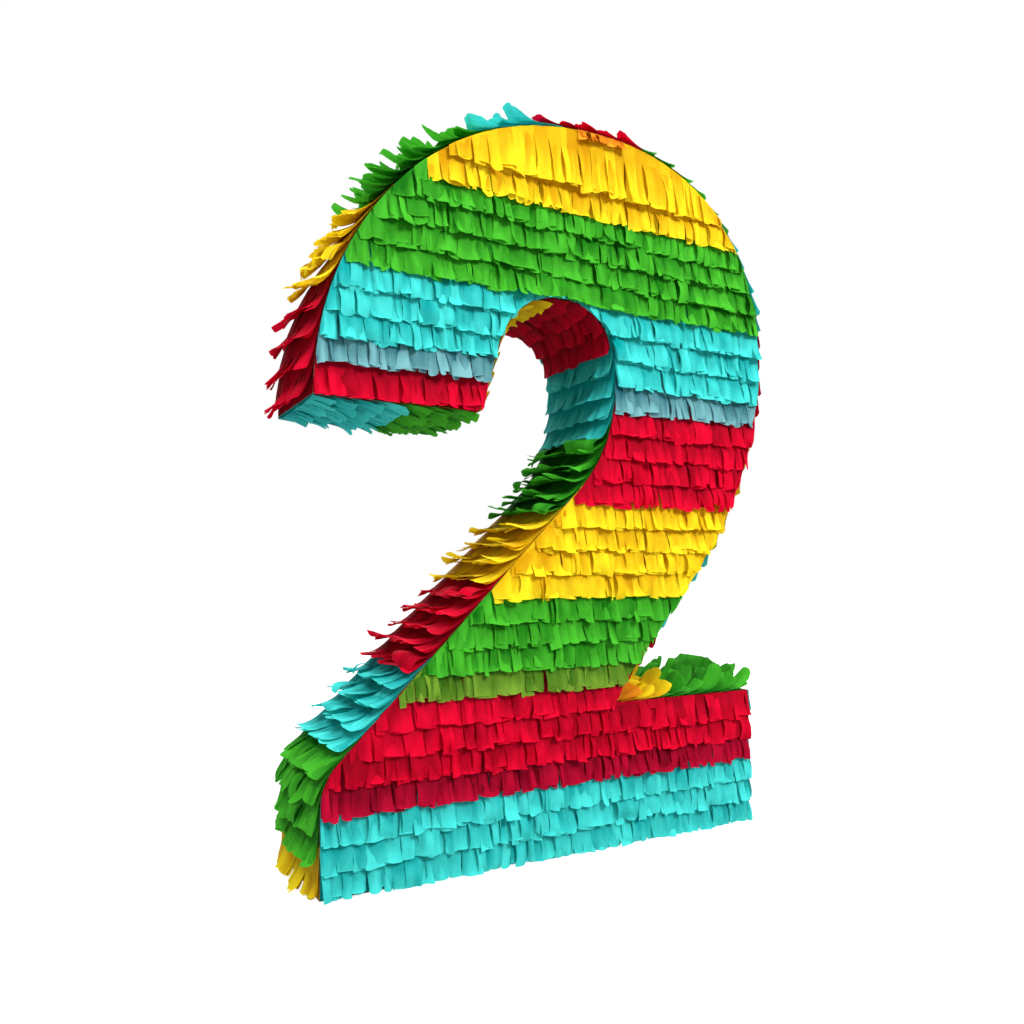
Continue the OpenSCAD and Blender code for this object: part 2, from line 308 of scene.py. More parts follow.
# How far tabs may hang past the lower edge of a face, and past the end of the rim's run
EDGE_OVERHANG = 0.0015
END_OVERHANG = 0.006
# The outer rim's rows end this far short of the crotch, so that their tips hang clear of the base top
CROTCH_CLEAR = END_OVERHANG + 0.002
# Beside the front and the back the rim's tabs lie flatter: over what depth, and how much they still rise
FRONT_EASE = (0.020, 0.55)
ROUGH_FRONT_EASE = (0.014, 0.70)
BACK_EASE = (0.014, 0.65)
# How far the rim's strips and the backing under them pass the faces
RIM_OVERLAP = 0.0016
BACKING_OVERLAP = RIM_OVERLAP / 4
# How much further along its run a row lies at the back than at the front: the most, and the distance
# from the run's start over which this swells and fades
SHEAR = {OUTER: (0.020, 0.36), BASE_TOP: (-0.018, 0.10)}
# The gap in the tissue at a string hole; how far from it, in radii, tissue is parted; and how near its
# middle, in radii, a face may still lie
STRING_GAP_R = 0.0042
PARTED = 2
BARRED = 0.8


class Piece:
    """The tissue of one colour band, gathered as one mesh."""

    def __init__(self):
        self.points, self.faces, self.slots = [], [], []
        self.tone_and_light, self.free, self.strip = [], [], []

    def add(self, point, tone_and_light, free, strip):
        """Adds a point: its tone with the painted light and shade, how far down a free tab it is, and its
        place on the strip.
        """
        self.points.append(point)
        self.tone_and_light.append(tone_and_light)
        self.free.append(free)
        self.strip.append(strip)
        return len(self.points) - 1

    def weave(self, columns, slot):
        """Faces between neighbouring columns of points. A missing column leaves a gap."""
        for a, b in zip(columns, columns[1:]):
            if a is None or b is None:
                continue
            for k in range(len(a) - 1):
                self.faces.append((a[k], a[k + 1], b[k + 1], b[k]))
                self.slots.append(slot)

    def make(self, name, materials):
        """The Blender object, with its attributes for the material."""
        mesh = bpy.data.meshes.new(name)
        mesh.from_pydata(self.points, [], self.faces)
        for attribute, values in (("tone_and_light", self.tone_and_light), ("free", self.free)):
            mesh.attributes.new(attribute, "FLOAT", "POINT").data.foreach_set("value", values)
        uv = mesh.uv_layers.new(name="strip")
        for loop in mesh.loops:
            uv.data[loop.index].uv = self.strip[loop.vertex_index]
        for material in materials:
            mesh.materials.append(material)
        for polygon, index in zip(mesh.polygons, self.slots):
            polygon.material_index = index
            polygon.use_smooth = True
        piece = bpy.data.objects.new(name, mesh)
        bpy.context.scene.collection.objects.link(piece)
        return piece


class FaceChart:
    """Places tissue on the front or the back. Across is x, and fall is downward.

    flap is "around" for rows on the panel that leave the flap free, and "on" for the flap's own rows.
    """

    most_off = FACE_MOST_OFF

    def __init__(self, side, flap=None):
        self.side, self.flap = side, flap

    def place(self, across, fall, off):
        """The point that lies off the face by a height."""
        return Vector((across, self.side * (HALF_D + off), -fall))

    def ease(self, across):
        """How freely a tab may stand off here."""
        return 1

    def limits(self, across, start, end):
        """The part of the fall from start to end that lies on the figure, or None."""
        low, high = -end, -start
        found = None
        for z0, z1 in heights(across):
            z0, z1 = max(low, z0 - EDGE_OVERHANG), min(high, z1)
            if z1 - z0 > LEAST_COLUMN and (found is None or z1 - z0 > found[1] - found[0]):
                found = z0, z1
        if found is None:
            return None
        z0, z1 = found
        z0 = max(z0, FLOOR_CLEAR)
        if self.flap == "around" and FLAP_LEFT < across < FLAP_RIGHT:
            if z0 < FLAP_LOW:
                z1 = min(z1, FLAP_LOW)
            elif z0 < CREASE_Z + ROW_PITCH / 2:
                return None
        if self.flap == "on":
            z1 = min(z1, CREASE_Z - CREASE_CLEAR)
        return (-z1, -z0) if z1 - z0 > LEAST_COLUMN else None


class RimChart:
    """Places tissue on the rim. Across is the depth, and fall runs along the outline, way 1 or -1."""

    most_off = RIM_MOST_OFF

    def __init__(self, run, way, first, last, front_ease):
        self.run, self.way, self.first, self.last = run, way, first, last
        self.front_ease = front_ease

    def place(self, across, fall, off):
        """The point that lies off the rim by a height."""
        d = self.way * fall
        most, reach = SHEAR.get(self.run, (0, 1))
        shear = most * math.sin(math.pi * min(max(d / reach, 0), 1))
        d += shear * (across + HALF_D) / (2 * HALF_D)
        point, out = self.run.place(d)
        point = point + out * off
        return Vector((point.x, across, max(point.y, FLOOR_CLEAR)))

    def ease(self, across):
        """How freely a tab may stand off here: less beside the two faces."""
        rises = []
        for inward, (depth, least) in ((HALF_D + across, self.front_ease), (HALF_D - across, BACK_EASE)):
            rises.append(least + (1 - least) * min(max(inward / depth, 0), 1))
        return min(rises)

    def limits(self, across, start, end):
        """The part of the fall from start to end that lies on the run, or None."""
        edges = sorted((self.way * self.first, self.way * self.last))
        start, end = max(start, edges[0]), min(end, edges[1] + END_OVERHANG)
        return (start, end) if end - start > LEAST_COLUMN else None


def tab_widths(total, look, rng):
    """Widths of the tabs along a row: uneven, with a few missed slits and a few slivers."""
    widths = []
    while sum(widths) < total:
        width = look.tab * rng.uniform(*TAB_WIDTHS)
        chance = rng.random()
        if chance < UNCUT_SHARE:
            width *= UNCUT_WIDTH
        elif chance > 1 - SLIVER_SHARE:
            width *= SLIVER_WIDTH
        widths.append(width)
    stretch = total / sum(widths)
    return [w * stretch for w in widths]


class Tab:
    """One tab and the header above it, with measures drawn at random round a look.

    In its methods u runs from -1 to 1 across the tab, and v from 0 at its root to 1 at its tip.
    """

    def __init__(self, left, right, tip, look, rng, shade_tint):
        self.left, self.right, self.look = left, right, look
        self.width = right - left
        self.free = look.length - look.header
        self.start = tip - look.length
        self.root = self.start + look.header * rng.uniform(*HEADERS)
        self.cut = tip + rng.gauss(0, look.ragged * TIP_SPREAD)
        self.slant = rng.gauss(0, look.ragged * SLANT_SPREAD)
        self.corner = look.corner * rng.uniform(*CORNERS)
        self.flare = look.flare * (1 + look.spread * rng.uniform(-1, 1))
        self.rolled = rng.random() < look.rolled
        self.curl = look.curl * rng.choice((-1, 1)) * rng.uniform(*CURLS)
        self.twist = look.twist * rng.uniform(-1, 1)
        self.tip_flare = look.flare * look.spread * rng.uniform(*TIP_FLARES)
        self.sway = look.sway * rng.gauss(0, SWAY_SPREAD)
        self.taper = rng.uniform(*TAPERS)
        self.waist = look.waist * rng.uniform(*WAISTS)
        # A tone drawn at random round the middle, moved by the row's painted shade
        self.tone_and_light = min(max(MIDDLE_TONE + shade_tint + rng.gauss(0, TONE_SPREAD), 0), 1)
        self.seed = rng.uniform(0, SEEDS)

    def across(self, at):
        """u at a place along the row."""
        return 2 * (at - (self.left + self.right) / 2) / self.width

    def end(self, u):
        """The fall at which the tab is cut off."""
        return self.cut + self.slant * u - self.corner * u ** CORNER_POWER

    def bend(self, u, v):
        """Height from the tab's flare, curl and twist."""
        rise = math.sin(ROLL * v) if self.rolled else v * v
        curl = self.curl * (u * u - CURL_LEVEL) * v ** CURL_POWER
        tip = (max(v - TIP_START, 0) / (1 - TIP_START)) ** 2
        return self.flare * rise + curl + self.twist * u * v + self.tip_flare * tip

    def pleat(self, at, fall, v):
        """Crest or valley of the soft folds. In the header they run on from tab to tab."""
        return noise.noise((at * PLEAT_GRAIN[0], fall * PLEAT_GRAIN[1], self.seed * (v > 0)))

    def height(self, at, fall, u, v):
        """How far the paper stands off the figure."""
        look = self.look
        down = max(fall - self.start, 0)
        least = PLY_GAP
        if v > 0:
            least = look.slope * max(down - ROW_PITCH, 0) + REST_GAP
        depth = look.pleat * (HEADER_PLEAT + (1 - HEADER_PLEAT) * min(v, 1))
        crinkle = noise.noise((at * CRINKLE_GRAIN[0], fall * CRINKLE_GRAIN[1], self.seed))
        off = look.slope * down + self.bend(u, v) + depth * self.pleat(at, fall, v) + CRINKLE * crinkle
        return max(off, least) + PLY_GAP

    def sideways(self, fall, u, v):
        """How far the paper lies to the right of where it is cut."""
        waver = WAVER * self.look.sway * v * noise.noise((self.seed, fall * WAVER_GRAIN, WAVER_PLANE))
        narrowing = self.taper * v + self.waist * math.sin(math.pi * min(v, 1))
        return self.sway * v ** SWAY_POWER + waver - u * self.width / 2 * narrowing

    def shade(self, at, fall, v):
        """Tone of the paper, with painted light on the crests of its pleats and painted shade in their
        valleys.
        """
        return self.tone_and_light + PLEAT_LIGHT * self.pleat(at, fall, v) * min(PLEAT_LIGHT_ONSET * v, 1)


def onto_paper(places, fits):
    """Moves a place just past the end of the paper to its very edge, and drops those further out."""
    fitting = [fits(at) for at in places]
    moved = [at if fit else None for at, fit in zip(places, fitting)]
    for i, fit in enumerate(fitting):
        beside = [j for j in (i - 1, i + 1) if not fit and 0 <= j < len(places) and fitting[j]]
        for j in beside:
            good, bad = places[j], places[i]
            for _ in range(EDGE_HALVINGS):
                half = (good + bad) / 2
                good, bad = (half, bad) if fits(half) else (good, half)
            moved[i] = good
    return moved


def tab_column(piece, chart, tab, at, lift):
    """Adds a tab's points at one place along the row, from the header's edge to the cut lip."""
    if at is None:
        return None
    u = tab.across(at)
    span = chart.limits(at, tab.start, tab.end(u))
    if span is None:
        return None
    first, last = span
    slit = max(first, min(tab.root, last - tab.free / 2))
    falls = [first + (slit - first) * k / HEADER_STEPS for k in range(HEADER_STEPS)]
    falls += [slit + (last - LIP - slit) * k / TAB_STEPS for k in range(TAB_STEPS + 1)]
    column = []
    # The last point is the cut lip, which gets a painted highlight
    for fall, highlight in [(fall, 0) for fall in falls] + [(last, LIP_HIGHLIGHT)]:
        v = min(max((fall - slit) / tab.free, 0), LONGEST)
        off = min((tab.height(at, fall, u, v) + lift) * chart.ease(at), chart.most_off)
        point = chart.place(at + tab.sideways(fall, u, v), fall, off)
        column.append(piece.add(point, tab.shade(at, fall, v) + highlight, v, (at, fall)))
    return column


def lay_tab(piece, chart, tab, lift, slot):
    """Adds one tab and its header. lift sets its ply apart from the other, and slot is its material."""
    count = max(2, round(tab.width / COLUMN))
    places = [tab.left + tab.width * i / count for i in range(count + 1)]
    places = onto_paper(places, lambda at: chart.limits(at, tab.start, tab.cut) is not None)
    piece.weave([tab_column(piece, chart, tab, at, lift) for at in places], slot)


def lay_row(piece, chart, left, right, tip, look, rng, slot=0, shade_tint=0.0):
    """One strip of tissue in two plies, each cut into tabs. tip is the fall of its tips; a negative tint
    darkens its tone as painted shade.
    """
    under = look._replace(tab=look.tab * UNDER_WIDER, waist=UNDER_WAIST)
    # The under ply's tone is set deeper: painted shade under the upper ply
    plies = (under, UNDER_SHORTER, -UNDER_LOWER, UNDER_PLY_SHADE), (look, 0, 0, 0)
    row_seed = rng.uniform(0, SEEDS)
    for ply, shorter, lift, ply_shade in plies:
        edge = left
        for width in tab_widths(right - left, ply, rng):
            swell = 1 + SWELL * noise.noise((edge * SWELL_GRAIN, row_seed, 0))
            swollen = ply._replace(flare=ply.flare * swell)
            tab = Tab(edge, edge + width, tip - shorter, swollen, rng, shade_tint - ply_shade)
            lay_tab(piece, chart, tab, lift, slot)
            edge += width


def lay_backing(piece, chart, left, right, start, end):
    """Uncut tissue glued flat under the rows, so that no board shows between the tabs. Its deep tone is
    painted shade.
    """
    count = math.ceil((right - left) / BACKING_STEP)
    rows = math.ceil((end - start) / BACKING_STEP)
    places = [left + (right - left) * i / count for i in range(count + 1)]
    places = onto_paper(places, lambda at: chart.limits(at, start, end) is not None)
    columns = []
    for at in places:
        span = chart.limits(at, start, end) if at is not None else None
        column = None
        if span:
            falls = [span[0] + (span[1] - span[0]) * k / rows for k in range(rows + 1)]
            column = [piece.add(chart.place(at, f, BACKING_OFF), BACKING_SHADE_TONE, 0, (at, f)) for f in falls]
        columns.append(column)
    piece.weave(columns, 0)


def open_round(piece, centre, along, radius):
    """Parts the tissue round a hole's axis, and drops the few faces that are left across it."""
    for i, point in enumerate(piece.points):
        away = point - centre
        away -= along * away.dot(along)
        if 0 < away.length < PARTED * radius:
            piece.points[i] = point + away.normalized() * (radius - away.length / PARTED)
    kept = []
    for face, slot in zip(piece.faces, piece.slots):
        middle = sum((piece.points[i] for i in face), Vector((0, 0, 0))) / len(face) - centre
        if (middle - along * middle.dot(along)).length > BARRED * radius:
            kept.append((face, slot))
    piece.faces, piece.slots = [face for face, _ in kept], [slot for _, slot in kept]


def open_string_holes(piece):
    """Opens the tissue over the two holes that a string goes through."""
    point, out = OUTER.place(STRING_D)
    for y in (-STRING_HOLE_Y, STRING_HOLE_Y):
        open_round(piece, Vector((point.x, y, point.y)), Vector((out.x, 0, out.y)), STRING_GAP_R)


# ---- Materials

# How much of the light that falls on tissue goes through it
SEE_THROUGH = 0.32
# The shade of tissue, from deep to fair: where it starts, and the share of each thing that adds to it
SHADE_START = -0.24
TONE_AND_LIGHT_SHARE = 0.55
# Painted shade at a tab's root, under the row above, and painted light down to its free tip
TIP_LIGHT_SHARE = 0.45
BLOTCH_SHARE = 0.45
CRINKLE_SHARE = 0.25


def hands(tree):
    """Two functions: one adds a node with its settings, one links two sockets."""

    def add(kind, settings=None):
        node = tree.nodes.new(kind)
        for socket, value in (settings or {}).items():
            node.inputs[socket].default_value = value
        return node

    def link(source, target):
        tree.links.new(source, target)

    return add, link


def new_material(name):
    """A material with its node tree."""
    material = bpy.data.materials.new(name)
    material.use_nodes = True
    return material, material.node_tree


def colour_ramp(add, colours):
    """A ramp between two colours, each given at its place from 0 to 1."""
    ramp = add("ShaderNodeValToRGB")
    for stop, (place, colour) in zip(ramp.color_ramp.elements, colours.items()):
        stop.position = place
        stop.color = (*colour, 1)
    return ramp


def linear(red, green, blue):
    """A colour given as it looks on screen, 0 to 255, as the shaders need it."""
    parts = [c / 255 for c in (red, green, blue)]
    return tuple(((c + 0.055) / 1.055) ** 2.4 if c > 0.04 else c / 12.92 for c in parts)


def tissue_shade(add, link, sources):
    """Adds up the shade of tissue from its sources, each by its share."""
    shade = None
    for source, share in sources:
        term = add("ShaderNodeMath", {1: share, 2: SHADE_START})
        term.operation = "MULTIPLY_ADD"
        link(source.outputs["Fac"], term.inputs[0])
        if shade is not None:
            link(shade, term.inputs[2])
        shade = term.outputs[0]
    return shade


def tissue(name, deep, fair):
    """Crepe-like tissue with fine crinkles down each tab: painted shade at the tab roots, painted light at
    the free tips.
    """
    material, tree = new_material(name)
    tree.nodes.clear()
    add, link = hands(tree)

    strip = add("ShaderNodeUVMap")
    strip.uv_map = "strip"
    grain = add("ShaderNodeMapping", {"Scale": (1500, 260, 1)})
    link(strip.outputs["UV"], grain.inputs["Vector"])
    crinkle = add("ShaderNodeTexNoise", {"Scale": 1, "Detail": 4})
    link(grain.outputs["Vector"], crinkle.inputs["Vector"])
    blotch = add("ShaderNodeTexNoise", {"Scale": 55, "Detail": 3})
    link(strip.outputs["UV"], blotch.inputs["Vector"])

    tone_and_light = add("ShaderNodeAttribute")
    tone_and_light.attribute_name = "tone_and_light"
    free = add("ShaderNodeAttribute")
    free.attribute_name = "free"
    shares = (tone_and_light, TONE_AND_LIGHT_SHARE), (free, TIP_LIGHT_SHARE), (blotch, BLOTCH_SHARE), (crinkle, CRINKLE_SHARE)
    ramp = colour_ramp(add, {0.1: deep, 0.85: fair})
    link(tissue_shade(add, link, shares), ramp.inputs["Fac"])
    bump = add("ShaderNodeBump", {"Strength": 0.35, "Distance": 0.0006})
    link(crinkle.outputs["Fac"], bump.inputs["Height"])

    paper = add("ShaderNodeBsdfPrincipled", {"Roughness": 0.78, "Specular IOR Level": 0.06})
    link(ramp.outputs["Color"], paper.inputs["Base Color"])
    link(bump.outputs["Normal"], paper.inputs["Normal"])
    glow = add("ShaderNodeBsdfTranslucent")
    link(ramp.outputs["Color"], glow.inputs["Color"])
    link(bump.outputs["Normal"], glow.inputs["Normal"])
    mix = add("ShaderNodeMixShader", {0: SEE_THROUGH})
    link(paper.outputs[0], mix.inputs[1])
    link(glow.outputs[0], mix.inputs[2])
    out = add("ShaderNodeOutputMaterial")
    link(mix.outputs[0], out.inputs["Surface"])
    return material


# Each tissue runs from a deep colour to a fair one. Its random tone and blotches, and the painted light and
# shade, pick the colour between them
TISSUE = {
    "turquoise": tissue("tissue_turquoise", linear(0, 158, 158), linear(74, 222, 216)),
    "green": tissue("tissue_green", linear(6, 104, 8), linear(74, 186, 46)),
    "yellow": tissue("tissue_yellow", linear(208, 152, 4), linear(250, 226, 34)),
    "red": tissue("tissue_red", linear(138, 0, 22), linear(226, 4, 48)),
}
# Rows of another tissue than their band's, by name
ODD_TISSUE = {
    "sheer": tissue("tissue_sheer", linear(22, 96, 108), linear(124, 184, 190)),
    "olive": tissue("tissue_olive", linear(50, 104, 16), linear(120, 162, 50)),
    "crimson": tissue("tissue_crimson", linear(98, 0, 22), linear(190, 8, 50)),
    "orange": tissue("tissue_orange", linear(176, 84, 8), linear(246, 164, 36)),
}


def kraft(name):
    """Corrugated board: brown paper with fibres, and flutes that show faintly through the liner."""
    material, tree = new_material(name)
    add, link = hands(tree)
    board = tree.nodes["Principled BSDF"]
    board.inputs["Roughness"].default_value = 0.85
    place = add("ShaderNodeTexCoord")
    fibre = add("ShaderNodeTexNoise", {"Scale": 420, "Detail": 6})
    link(place.outputs["Object"], fibre.inputs["Vector"])
    flute = add("ShaderNodeTexWave", {"Scale": 44, "Distortion": 0.4})
    flute.bands_direction = "X"
    link(place.outputs["Object"], flute.inputs["Vector"])
    ramp = colour_ramp(add, {0.3: linear(150, 112, 72), 0.72: linear(205, 168, 122)})
    link(fibre.outputs["Fac"], ramp.inputs["Fac"])
    link(ramp.outputs["Color"], board.inputs["Base Color"])
    bump = add("ShaderNodeBump", {"Strength": 0.25, "Distance": 0.0004})
    link(flute.outputs["Fac"], bump.inputs["Height"])
    link(bump.outputs["Normal"], board.inputs["Normal"])
    return material


# ---- The camera, the floor and the light

# The camera was fitted to the photo. It is level, and turned to see the figure's left side
CAMERA_PLACE = (-0.3432, -0.5854, 0.2191)
CAMERA_TURN = -28.72
CAMERA_LENS = 29.08
CAMERA_SHIFT = 0.0552
FLOOR_HALF = 6
WHITE = (1, 1, 1, 1)
# Lights: name, place, size and power
LIGHTS = (
    ("key", (0.35, -1.7, 1.5), 0.8, 52),
    ("side", (-1.1, -0.5, 2.4), 1.0, 42),
    ("back", (0.3, 1.7, 1.4), 1.2, 24),
)


def make_camera():
    """The camera that sees the figure as the photo does."""
    camera = bpy.data.objects.new("camera", bpy.data.cameras.new("camera"))
    camera.location = CAMERA_PLACE
    camera.rotation_euler = (math.radians(90), 0, math.radians(CAMERA_TURN))
    camera.data.lens = CAMERA_LENS
    camera.data.shift_y = CAMERA_SHIFT
    bpy.context.scene.collection.objects.link(camera)
    bpy.context.scene.camera = camera


def mix_for_camera(tree, thrown, seen, output):
    """Lets the camera see one shader, where everything else gets another."""
    add, link = hands(tree)
    path = add("ShaderNodeLightPath")
    mix = add("ShaderNodeMixShader")
    link(path.outputs["Is Camera Ray"], mix.inputs[0])
    link(thrown.outputs[0], mix.inputs[1])
    link(seen.outputs[0], mix.inputs[2])
    link(mix.outputs[0], tree.nodes[output].inputs["Surface"])


def make_floor():
    """A pale floor. It is whiter to the camera than to the figure, so it throws little light back up."""
    half = FLOOR_HALF
    corners = [(-half, -half, 0), (half, -half, 0), (half, half, 0), (-half, half, 0)]
    mesh = bpy.data.meshes.new("floor")
    mesh.from_pydata(corners, [], [(0, 1, 2, 3)])
    floor = bpy.data.objects.new("floor", mesh)
    material, tree = new_material("studio_floor")
    seen = tree.nodes["Principled BSDF"]
    seen.inputs["Base Color"].default_value = (0.35, 0.35, 0.35, 1)
    seen.inputs["Roughness"].default_value = 0.9
    seen.inputs["Emission Color"].default_value = WHITE
    seen.inputs["Emission Strength"].default_value = 0.86
    add, _ = hands(tree)
    thrown = add("ShaderNodeBsdfDiffuse", {"Color": (0.5, 0.5, 0.5, 1)})
    mix_for_camera(tree, thrown, seen, "Material Output")
    mesh.materials.append(material)
    bpy.context.scene.collection.objects.link(floor)


def make_world():
    """Soft light from all round, and a white backdrop for the camera."""
    world = bpy.data.worlds.new("studio")
    world.use_nodes = True
    tree = world.node_tree
    sky = tree.nodes["Background"]
    sky.inputs["Strength"].default_value = 0.40
    sky.inputs["Color"].default_value = WHITE
    add, _ = hands(tree)
    backdrop = add("ShaderNodeBackground", {"Color": WHITE})
    mix_for_camera(tree, sky, backdrop, "World Output")
    bpy.context.scene.world = world


def make_light(name, place, size, power):
    """A soft square light that faces the figure."""
    light = bpy.data.lights.new(name, "AREA")
    light.size = size
    light.energy = power
    holder = bpy.data.objects.new(name, light)
    holder.location = place
    aim = Vector((0, 0, FIGURE_H / 2)) - Vector(place)
    holder.rotation_euler = aim.to_track_quat("-Z", "Y").to_euler()
    bpy.context.scene.collection.objects.link(holder)


make_camera()
make_floor()
make_world()
for name, place, size, power in LIGHTS:
    make_light(name, place, size, power)
bpy.context.scene.view_settings.view_transform = "Standard"

# ---- Where the colour bands are

FRONT, BACK = -1, 1
HOOK_SIDE = (-HALF_W, 0)
BOWL_SIDE = (0, HALF_W)
WHOLE = (-HALF_W, HALF_W)
# Heights at which the colours change, besides CREASE_Z, where the turquoise of bowl and hook ends
BASE_SPLIT = 0.054
STEM_LOW = 0.126
STEM_SPLIT = 0.196
BOWL_LOW = 0.268
BOWL_SPLIT = 0.342
CROWN_SPLIT = 0.492
HOOK_LOW = 0.3315
HOOK_SPLIT = 0.354
# Low and high are the heights of a band's lowest tips and of the next band's, and ends are in x
FaceBand = namedtuple("FaceBand", "node colour low high rows ends")


def low_bands(face):
    """The bands of the base and the stem, which are the same on both faces."""
    return [
        FaceBand(face + "_turquoise_base", "turquoise", 0, BASE_SPLIT, 3, WHOLE),
        FaceBand(face + "_red_base", "red", BASE_SPLIT, STEM_LOW, 4, WHOLE),
        FaceBand(face + "_green_stem", "green", STEM_LOW, STEM_SPLIT, 4, WHOLE),
        FaceBand(face + "_yellow_stem", "yellow", STEM_SPLIT, BOWL_LOW, 4, WHOLE),
    ]


FRONT_BANDS = low_bands("front") + [
    FaceBand("front_red_bowl", "red", BOWL_LOW, BOWL_SPLIT, 4, BOWL_SIDE),
    FaceBand("front_turquoise_bowl", "turquoise", BOWL_SPLIT, CREASE_Z, 4, BOWL_SIDE),
    FaceBand("front_red_hook", "red", HOOK_LOW, HOOK_SPLIT, 1, HOOK_SIDE),
    FaceBand("front_turquoise_hook", "turquoise", HOOK_SPLIT, CREASE_Z, 4, HOOK_SIDE),
    FaceBand("front_green_crown", "green", CREASE_Z, CROWN_SPLIT, 4, WHOLE),
]
BACK_BANDS = low_bands("back") + [
    FaceBand("back_red_bowl", "red", BOWL_LOW, BOWL_SPLIT, 4, WHOLE),
    FaceBand("back_turquoise_bowl", "turquoise", BOWL_SPLIT, CREASE_Z, 4, WHOLE),
    FaceBand("back_green_crown", "green", CREASE_Z, CROWN_SPLIT, 4, WHOLE),
    FaceBand("back_yellow_crown", "yellow", CROWN_SPLIT, FIGURE_H, 4, WHOLE),
]
FLAP_BAND = FaceBand(
    "flap_fringe", "turquoise", BOWL_SPLIT, CREASE_Z, 4, (FLAP_LEFT + CUT, FLAP_RIGHT - CUT)
)
# The front's yellow crown: one row under a long one, which both start short of the outline on the left
CROWN_LEFT = -0.1176
CROWN_LOW = 0.490
CROWN_LONG_LOW = 0.510
# The scrap on the crown's edge: its ends in x, and the height of its tips
SCRAP_ENDS = (0.008, 0.052)
SCRAP_LOW = 0.550
# Rows of another tissue than their band's: row, in the order of gluing, and tissue
ODD_ROWS = {
    "front_turquoise_bowl": (0, "sheer"),
    "front_turquoise_hook": (0, "sheer"),
    "front_green_stem": (0, "olive"),
    "front_red_base": (0, "crimson"),
    "rim_yellow_base_top": (2, "orange"),
}
# First and last are distances along the run, which goes straight on past its ends. Way is 1 where the
# tips point along it, else -1
RimBand = namedtuple("RimBand", "node colour run first last way")
RIM_BANDS = [
    RimBand("rim_red_hook", "red", OUTER, -0.003, 0.072, -1),
    RimBand("rim_yellow_hook", "yellow", OUTER, 0.072, 0.145, -1),
    RimBand("rim_green_shoulder", "green", OUTER, 0.145, 0.246, -1),
    RimBand("rim_turquoise_crown", "turquoise", OUTER, 0.246, 0.303, -1),
    RimBand("rim_red_crown", "red", OUTER, 0.303, SEAM, -1),
    RimBand("rim_green_bowl", "green", OUTER, SEAM, 0.504, 1),
    RimBand("rim_turquoise_bowl", "turquoise", OUTER, 0.504, 0.590, 1),
    RimBand("rim_red_bowl", "red", OUTER, 0.590, 0.662, 1),
    RimBand("rim_yellow_cheek", "yellow", OUTER, 0.662, 0.790, 1),
    RimBand("rim_turquoise_stem", "turquoise", OUTER, 0.790, 0.876, 1),
    RimBand("rim_red_crotch", "red", OUTER, 0.876, OUTER.length - 0.006, 1),
    RimBand("rim_yellow_base_top", "yellow", BASE_TOP, 0.016, 0.066, 1),
    RimBand("rim_green_base_top", "green", BASE_TOP, 0.062, BASE_TOP.length + 0.005, 1),
    RimBand("rim_turquoise_base_end", "turquoise", BASE_END, 0, BASE_H, 1),
    RimBand("rim_yellow_foot", "yellow", INNER, 0, 0.026, -1),
    RimBand("rim_green_foot", "green", INNER, 0.026, 0.096, -1),
    RimBand("rim_turquoise_lower_stem", "turquoise", INNER, 0.096, 0.169, -1),
    RimBand("rim_red_middle_stem", "red", INNER, 0.169, 0.252, -1),
    RimBand("rim_yellow_upper_stem", "yellow", INNER, 0.252, 0.326, -1),
    RimBand("rim_green_throat", "green", INNER, 0.326, 0.410, -1),
    RimBand("rim_turquoise_counter", "turquoise", INNER, 0.410, 0.482, -1),
    RimBand("rim_red_counter", "red", INNER, 0.482, 0.557, -1),
    RimBand("rim_yellow_tongue", "yellow", INNER, 0.557, INNER.length, -1),
    RimBand("rim_green_hook_end", "green", HOOK_END, 0, 0.053, -1),
    RimBand("rim_turquoise_hook_end", "turquoise", HOOK_END, 0.053, HOOK_END.length, -1),
]
# Number of rows, where it doesn't follow from ROW_PITCH
CLOSE_ROWS = {"rim_yellow_base_top": 3}
# Flare of the rim tabs, where it isn't the usual one
FLARE = {
    "rim_red_hook": 0.0065,
    "rim_yellow_hook": 0.0080,
    "rim_green_shoulder": 0.0115,
    "rim_turquoise_crown": 0.0100,
    "rim_red_crown": 0.0085,
    "rim_green_bowl": 0.0060,
    "rim_turquoise_bowl": 0.0035,
    "rim_red_bowl": 0.0035,
    "rim_yellow_cheek": 0.0035,
    "rim_turquoise_stem": 0.0035,
    "rim_red_crotch": 0.0060,
    "rim_yellow_base_top": 0.0110,
    "rim_green_base_top": 0.0110,
    "rim_turquoise_lower_stem": 0.0085,
    "rim_red_middle_stem": 0.0090,
    "rim_yellow_upper_stem": 0.0090,
    "rim_green_throat": 0.0115,
    "rim_turquoise_counter": 0.0030,
    "rim_red_counter": 0.0025,
    "rim_yellow_tongue": 0.0030,
    "rim_turquoise_hook_end": 0.0030,
    "rim_green_hook_end": 0.0030,
}
# Rim bands whose tabs flare unevenly, and rise almost as high beside the front
ROUGH_BANDS = ("rim_green_shoulder", "rim_turquoise_crown", "rim_green_base_top")
ROUGH_SPREAD = 0.7
# Painted shade: darker tone in the bands that lie where the figure curls round and shuts out the light
SHADE_TINT = {"rim_turquoise_counter": -0.9, "rim_red_counter": -0.8, "rim_green_throat": -0.3}


def odd_slot(tissue_name):
    """The material slot of an odd tissue. Slot 0 is the band's own."""
    return 1 + list(ODD_TISSUE).index(tissue_name)


def row_slot(node, row):
    """The material slot of one row of a band."""
    odd_row, tissue_name = ODD_ROWS.get(node, (None, None))
    return odd_slot(tissue_name) if row == odd_row else 0


def face_band(band, side, rng, flap=None):
    """All rows of a colour band on a face, lowest first."""
    piece = Piece()
    chart = FaceChart(side, flap)
    lay_backing(piece, chart, *band.ends, -band.high, -band.low)
    pitch = (band.high - band.low) / band.rows
    for i in range(band.rows):
        lay_row(piece, chart, *band.ends, -(band.low + i * pitch), FACE, rng, row_slot(band.node, i))
    return piece


